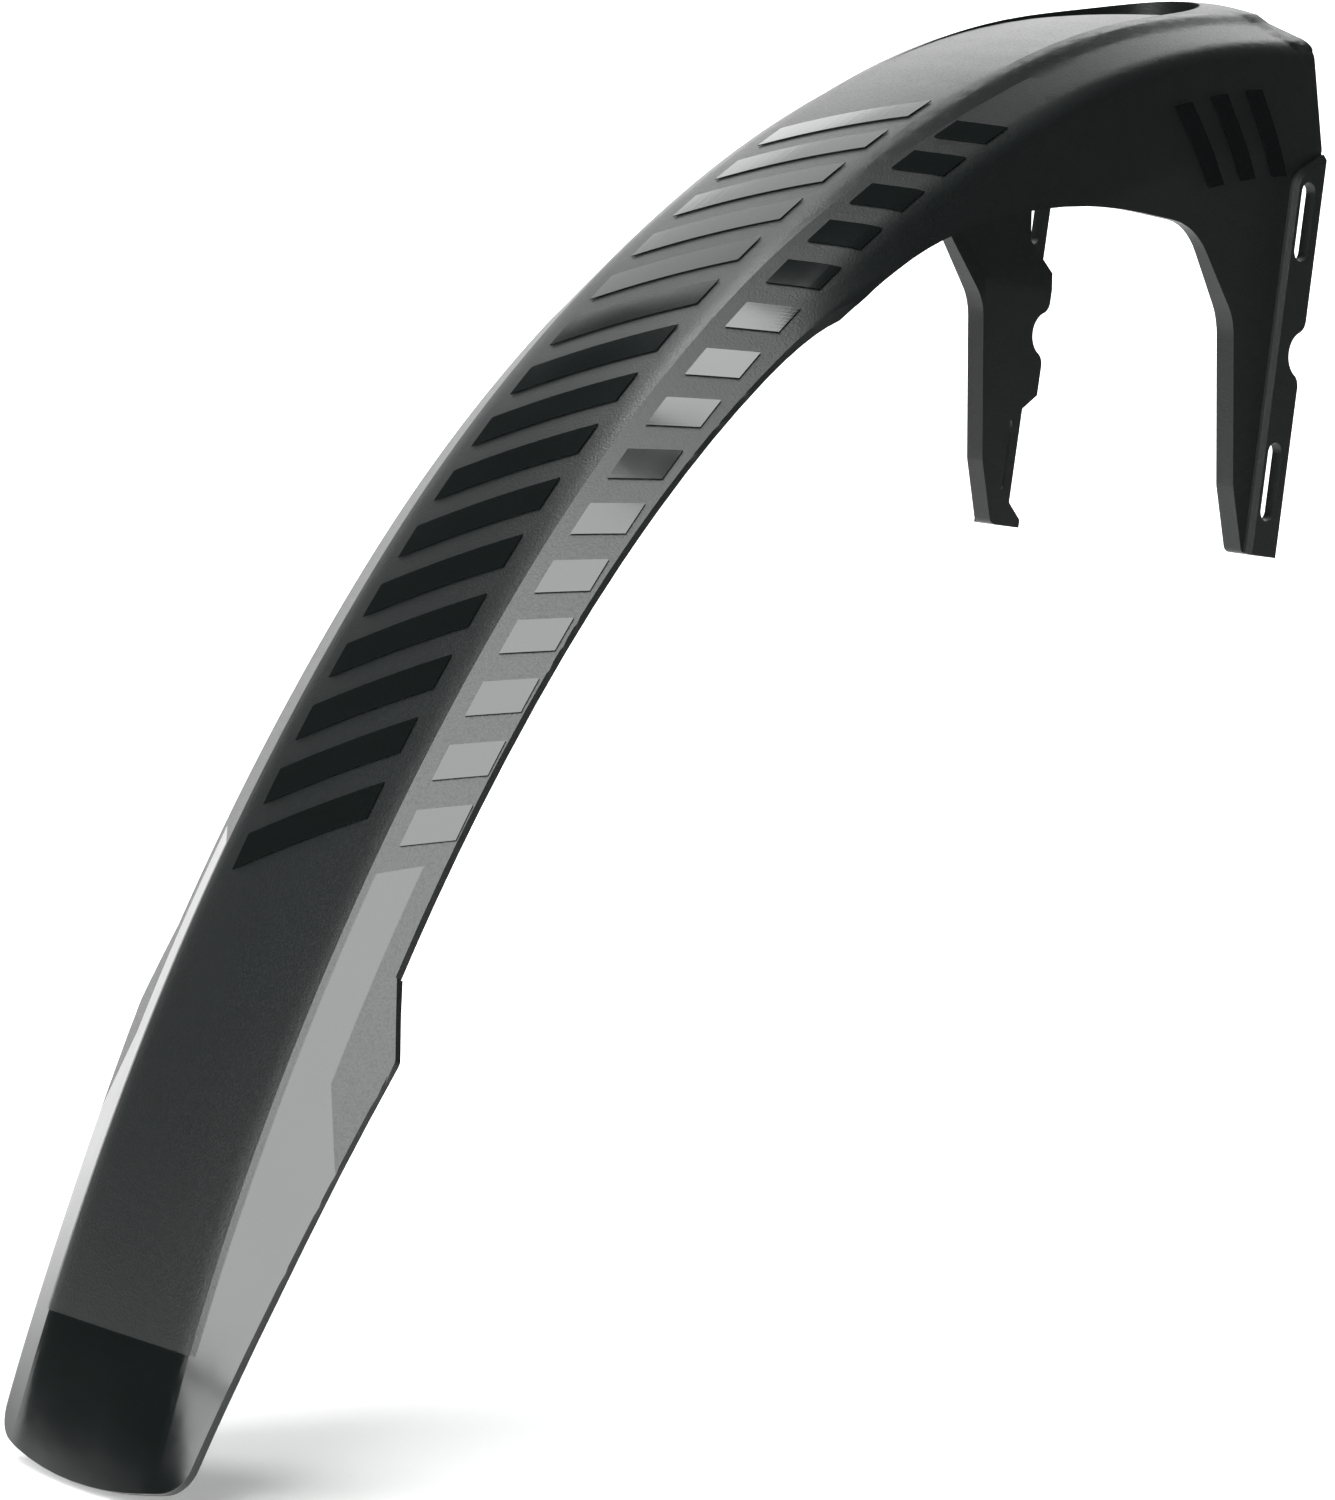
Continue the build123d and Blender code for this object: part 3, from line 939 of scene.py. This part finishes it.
    def raised_bars(self, work: NodeWork, inputs: Sockets) -> bpy.types.NodeSocket:
        """Add the nodes that raise the laid bars a hair over the skin, with flat sides.

        Args:
            work: The tree to build in.
            inputs: The tree's own inputs.

        Returns:
            The raised bars.
        """
        turned = work.node("GeometryNodeFlipFaces")
        work.join(self.laid_bars(work, inputs), turned.inputs["Mesh"])
        raised = work.node("GeometryNodeExtrudeMesh")
        raised.inputs["Individual"].default_value = False
        work.join(turned.outputs["Mesh"], raised.inputs["Mesh"])
        work.join(work.math("ADD", inputs["Sink"], inputs["Lift"]), raised.inputs["Offset Scale"])
        sides = work.node("GeometryNodeSetShadeSmooth")
        sides.inputs["Shade Smooth"].default_value = False
        work.join(raised.outputs["Mesh"], sides.inputs["Geometry"])
        work.join(raised.outputs["Side"], sides.inputs["Selection"])
        return sides.outputs["Geometry"]

    def tree(self) -> bpy.types.NodeTree:
        """Geometry nodes that lay one row of bars on the guide.

        Returns:
            The node tree.
        """
        tree = bpy.data.node_groups.new("bars_on_skin", "GeometryNodeTree")
        for name, kind in self.SOCKETS:
            tree.interface.new_socket(name, in_out="INPUT", socket_type=kind)
        tree.interface.new_socket("Geometry", in_out="OUTPUT", socket_type="NodeSocketGeometry")
        work = NodeWork(tree)
        inputs = work.node("NodeGroupInput").outputs
        whole = work.node("GeometryNodeRealizeInstances")
        work.join(self.raised_bars(work, inputs), whole.inputs["Geometry"])
        coat = work.node("GeometryNodeSetMaterial")
        work.join(whole.outputs["Geometry"], coat.inputs["Geometry"])
        work.join(inputs["Finish"], coat.inputs["Material"])
        work.join(coat.outputs["Geometry"], work.node("NodeGroupOutput").inputs["Geometry"])
        return tree

    def build(self, rows: list[BarRow], finish: bpy.types.Material) -> list[bpy.types.Object]:
        """Build the rows as plain meshes.

        Args:
            rows: The rows.
            finish: Their material.

        Returns:
            One object for each row.
        """
        guide = self.guide()
        tree = self.tree()
        pieces = [self.lay(row, tree, guide, finish) for row in rows]
        bpy.data.objects.remove(guide)
        bpy.data.node_groups.remove(tree)
        return pieces

    def lay(
        self, row: BarRow, tree: bpy.types.NodeTree, guide: bpy.types.Object, finish: bpy.types.Material
    ) -> bpy.types.Object:
        """Lay one row and turn it into a plain mesh.

        Args:
            row: The row.
            tree: The node tree.
            guide: The sheet that it follows.
            finish: Its material.

        Returns:
            The row's object.
        """
        carrier = bpy.data.objects.new(f"{row.name}_carrier", bpy.data.meshes.new(f"{row.name}_carrier"))
        bpy.context.scene.collection.objects.link(carrier)
        modifier = carrier.modifiers.new("bars", "NODES")
        modifier.node_group = tree
        sizes = {
            "Guide": guide, "Finish": finish, "Count": row.count, "Start": row.start, "Pitch": row.pitch,
            "Centre": row.centre, "Width": row.width, "Length": row.length,
            "Slant": math.radians(row.slant_deg), "Sink": self.SINK, "Lift": self.LIFT, "Grid": self.GRID,
        }
        named = [item for item in tree.interface.items_tree if item.in_out == "INPUT"]
        sockets = {item.name: item.identifier for item in named}
        for name, value in sizes.items():
            modifier[sockets[name]] = value
        carrier.update_tag()
        bpy.context.view_layer.update()
        graph = bpy.context.evaluated_depsgraph_get()
        mesh = bpy.data.meshes.new_from_object(carrier.evaluated_get(graph))
        mesh.name = row.name
        bpy.data.objects.remove(carrier)
        piece = bpy.data.objects.new(row.name, mesh)
        bpy.context.scene.collection.objects.link(piece)
        return piece

    @staticmethod
    def dress(piece: bpy.types.Object) -> None:
        """Set a row in the frame."""
        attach(piece, BODY)


def bar_rows() -> list[BarRow]:
    """Rows of bars on the top, on the right flange and on both walls of the collar.

    Returns:
        The rows.
    """
    rows = [
        BarRow(
            name="top_bars", count=15, start=0.136, pitch=0.0165, centre=0.0,
            width=0.009, length=0.034, slant_deg=28.0,
        ),
        BarRow(
            name="right_flange_bars", count=15, start=0.128, pitch=0.0165, centre=-0.0335,
            width=0.009, length=0.011, slant_deg=28.0,
        ),
    ]
    for side in Side:
        wall_row = BarRow(
            name=f"{side.name.lower()}_wall_bars", count=3, start=0.024, pitch=0.015,
            centre=side.value * WALL_GIRTH, width=0.007, length=0.022,
            slant_deg=side.value * WALL_SLANT_DEG,
        )
        rows.append(wall_row)
    return rows


@dataclass(frozen=True)
class Softbox:
    """One soft light: where it stands from the guard's middle, its size and its power."""

    name: str
    heading_deg: float
    elevation_deg: float
    distance: float
    width: float
    height: float
    power: float

    def build(self) -> None:
        """Add the light, aimed at the guard's middle."""
        light = bpy.data.lights.new(self.name, "AREA")
        light.shape = "RECTANGLE"
        light.size = self.width
        light.size_y = self.height
        light.energy = self.power
        lamp = bpy.data.objects.new(self.name, light)
        heading, elevation = math.radians(self.heading_deg), math.radians(self.elevation_deg)
        level = math.cos(elevation)
        toward = Vector((level * math.cos(heading), level * math.sin(heading), math.sin(elevation)))
        lamp.location = toward * self.distance
        lamp.rotation_euler = toward.to_track_quat("Z", "Y").to_euler()
        lamp.visible_camera = False
        bpy.context.scene.collection.objects.link(lamp)


def softboxes() -> list[Softbox]:
    """Soft lights of the studio.

    Returns:
        The lights.
    """
    return [
        Softbox(
            name="left_softbox", heading_deg=199.0, elevation_deg=28.0, distance=1.2,
            width=0.8, height=1.4, power=32.0,
        ),
        Softbox(
            name="top_softbox", heading_deg=125.0, elevation_deg=66.0, distance=1.5,
            width=0.4, height=0.4, power=9.0,
        ),
        Softbox(
            name="front_softbox", heading_deg=66.0, elevation_deg=46.0, distance=1.5,
            width=0.9, height=0.6, power=3.4,
        ),
        Softbox(
            name="collar_softbox", heading_deg=34.0, elevation_deg=41.0, distance=1.5,
            width=0.5, height=0.45, power=1.4,
        ),
        Softbox(
            name="low_left_softbox", heading_deg=171.0, elevation_deg=6.0, distance=1.2,
            width=0.4, height=0.24, power=2.2,
        ),
        Softbox(
            name="high_left_softbox", heading_deg=200.0, elevation_deg=70.0, distance=1.4,
            width=0.3, height=0.3, power=2.8,
        ),
    ]


@dataclass(frozen=True)
class Studio:
    """Floor, backdrop, lights and camera."""

    crown: CrownLine
    floor_gap: float = 0.001
    room: float = 3.0
    wall_distance: float = 1.6
    wall_half: float = 2.2
    wall_height: float = 1.8
    cove_radius: float = 0.5
    cove_steps: int = 12
    paper_tone: Colour = (0.86, 0.86, 0.86)
    paper_roughness: float = 0.9
    paper_gloss: float = 0.1
    glow_start: float = -0.3
    glow_end: float = 1.2
    room_dim: Colour = (0.045, 0.05, 0.05)
    room_white: Colour = (1.0, 1.0, 1.0)
    camera_x: float = -0.9644424
    camera_y: float = -0.7852727
    camera_z: float = -0.0704833
    heading_deg: float = 44.19
    tilt_deg: float = -2.35
    roll_deg: float = 7.52
    lens: float = 127.706
    sensor: float = 36.0
    clip_start: float = 0.05
    shift_x: float = -0.00171
    shift_y: float = -0.00242

    def build(self) -> None:
        """Add everything round the guard."""
        self.backdrop()
        self.camera()
        for softbox in softboxes():
            softbox.build()
        self.room_light()
        bpy.context.scene.view_settings.view_transform = "Standard"

    def room_light(self) -> None:
        """Add a room that looks white and lights the guard dimly."""
        world = bpy.data.worlds.new("dim_room")
        world.use_nodes = True
        work = NodeWork(world.node_tree)
        room = work.node("ShaderNodeMix", data_type="RGBA")
        work.join(work.node("ShaderNodeLightPath").outputs["Is Camera Ray"], room.inputs["Factor"])
        room.inputs["A"].default_value = (*self.room_dim, 1.0)
        room.inputs["B"].default_value = (*self.room_white, 1.0)
        work.join(room.outputs["Result"], world.node_tree.nodes["Background"].inputs["Color"])
        bpy.context.scene.world = world

    def backdrop(self) -> None:
        """Add the floor, which curves up into a pale wall behind the guard."""
        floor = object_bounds()[0][2] - self.floor_gap
        profile = [(-self.room, floor), (self.wall_distance - self.cove_radius, floor)]
        for number in range(1, self.cove_steps + 1):
            turn = math.radians(90 * number / self.cove_steps)
            out = self.wall_distance - self.cove_radius + self.cove_radius * math.sin(turn)
            profile.append((out, floor + self.cove_radius * (1 - math.cos(turn))))
        profile.append((self.wall_distance, floor + self.wall_height))
        heading = math.radians(self.heading_deg)
        ahead = Vector((math.cos(heading), math.sin(heading), 0.0))
        aside = Vector((-math.sin(heading), math.cos(heading), 0.0))
        points, faces = [], []
        for out, height in profile:
            for reach in (-self.wall_half, self.wall_half):
                points.append(ahead * out + aside * reach + Vector((0.0, 0.0, height)))
        for number in range(len(profile) - 1):
            faces.append((2 * number, 2 * number + 2, 2 * number + 3, 2 * number + 1))
        mesh = bpy.data.meshes.new("floor_and_backdrop")
        mesh.from_pydata([tuple(point) for point in points], [], faces)
        mesh.polygons.foreach_set("use_smooth", [True] * len(faces))
        mesh.materials.append(self.paper(ahead))
        sheet = bpy.data.objects.new("floor_and_backdrop", mesh)
        bpy.context.scene.collection.objects.link(sheet)
        sheet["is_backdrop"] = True

    def paper(self, ahead: Vector) -> bpy.types.Material:
        """White paper with a painted glow from its own emission that grows toward the wall, and clear when
        seen from its back.

        Args:
            ahead: Level direction from the camera to the wall.

        Returns:
            The material.
        """
        material = bpy.data.materials.new("white_paper")
        material.use_nodes = True
        work = NodeWork(material.node_tree)
        shader = material.node_tree.nodes["Principled BSDF"]
        shader.inputs["Base Color"].default_value = (*self.paper_tone, 1.0)
        shader.inputs["Roughness"].default_value = self.paper_roughness
        shader.inputs["Specular IOR Level"].default_value = self.paper_gloss
        place = work.node("ShaderNodeTexCoord").outputs["Object"]
        along = work.node("ShaderNodeVectorMath", operation="DOT_PRODUCT")
        work.join(place, along.inputs[0])
        along.inputs[1].default_value = ahead
        # Painted glow: emission rises from glow_start to glow_end along the heading, so the paper is
        # brighter toward the wall.
        glow = work.between(along.outputs["Value"], self.glow_start, self.glow_end)
        work.join(glow, shader.inputs["Emission Strength"])
        shader.inputs["Emission Color"].default_value = (1.0, 1.0, 1.0, 1.0)
        sides = work.node("ShaderNodeMixShader")
        work.join(work.node("ShaderNodeNewGeometry").outputs["Backfacing"], sides.inputs["Fac"])
        work.join(shader.outputs["BSDF"], sides.inputs[1])
        work.join(work.node("ShaderNodeBsdfTransparent").outputs["BSDF"], sides.inputs[2])
        work.join(sides.outputs["Shader"], material.node_tree.nodes["Material Output"].inputs["Surface"])
        return material

    def camera(self) -> None:
        """Add the camera where the photograph was taken from."""
        lens = bpy.data.cameras.new("camera")
        lens.sensor_fit = "HORIZONTAL"
        lens.sensor_width = self.sensor
        lens.lens = self.lens
        lens.shift_x = self.shift_x
        lens.shift_y = self.shift_y
        lens.clip_start = self.clip_start
        camera = bpy.data.objects.new("camera", lens)
        bpy.context.scene.collection.objects.link(camera)
        camera.location = (
            self.crown.slots_x + self.camera_x, self.camera_y, self.crown.slots_z + self.camera_z,
        )
        heading = math.radians(self.heading_deg - 90)
        turn = Euler((math.radians(90 + self.tilt_deg), 0.0, heading)).to_matrix()
        roll = Euler((0.0, 0.0, math.radians(self.roll_deg))).to_matrix()
        camera.rotation_euler = (turn @ roll).to_euler()
        bpy.context.scene.camera = camera


def main() -> None:
    """Build and dress every piece, then the studio."""
    logging.basicConfig(level=logging.INFO, format="%(message)s")
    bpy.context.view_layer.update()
    slots = frame["record"]["mounts"][0]["pos_m"]
    crown = CrownLine(slots_x=slots[0], slots_z=slots[2])
    section = GuardSection()
    shop = PlasticShop()

    guard = GuardBody(crown, section)
    body = guard.build()
    guard.dress(body, shop.moulding(PolishBorders()))
    LOG.info("%s: %d faces", body.name, len(body.data.polygons))

    bars = PolishedBars(crown, section)
    for piece in bars.build(bar_rows(), shop.polished()):
        bars.dress(piece)
        LOG.info("%s: %d faces", piece.name, len(piece.data.polygons))

    Studio(crown).build()


if __name__ == "__main__":
    main()
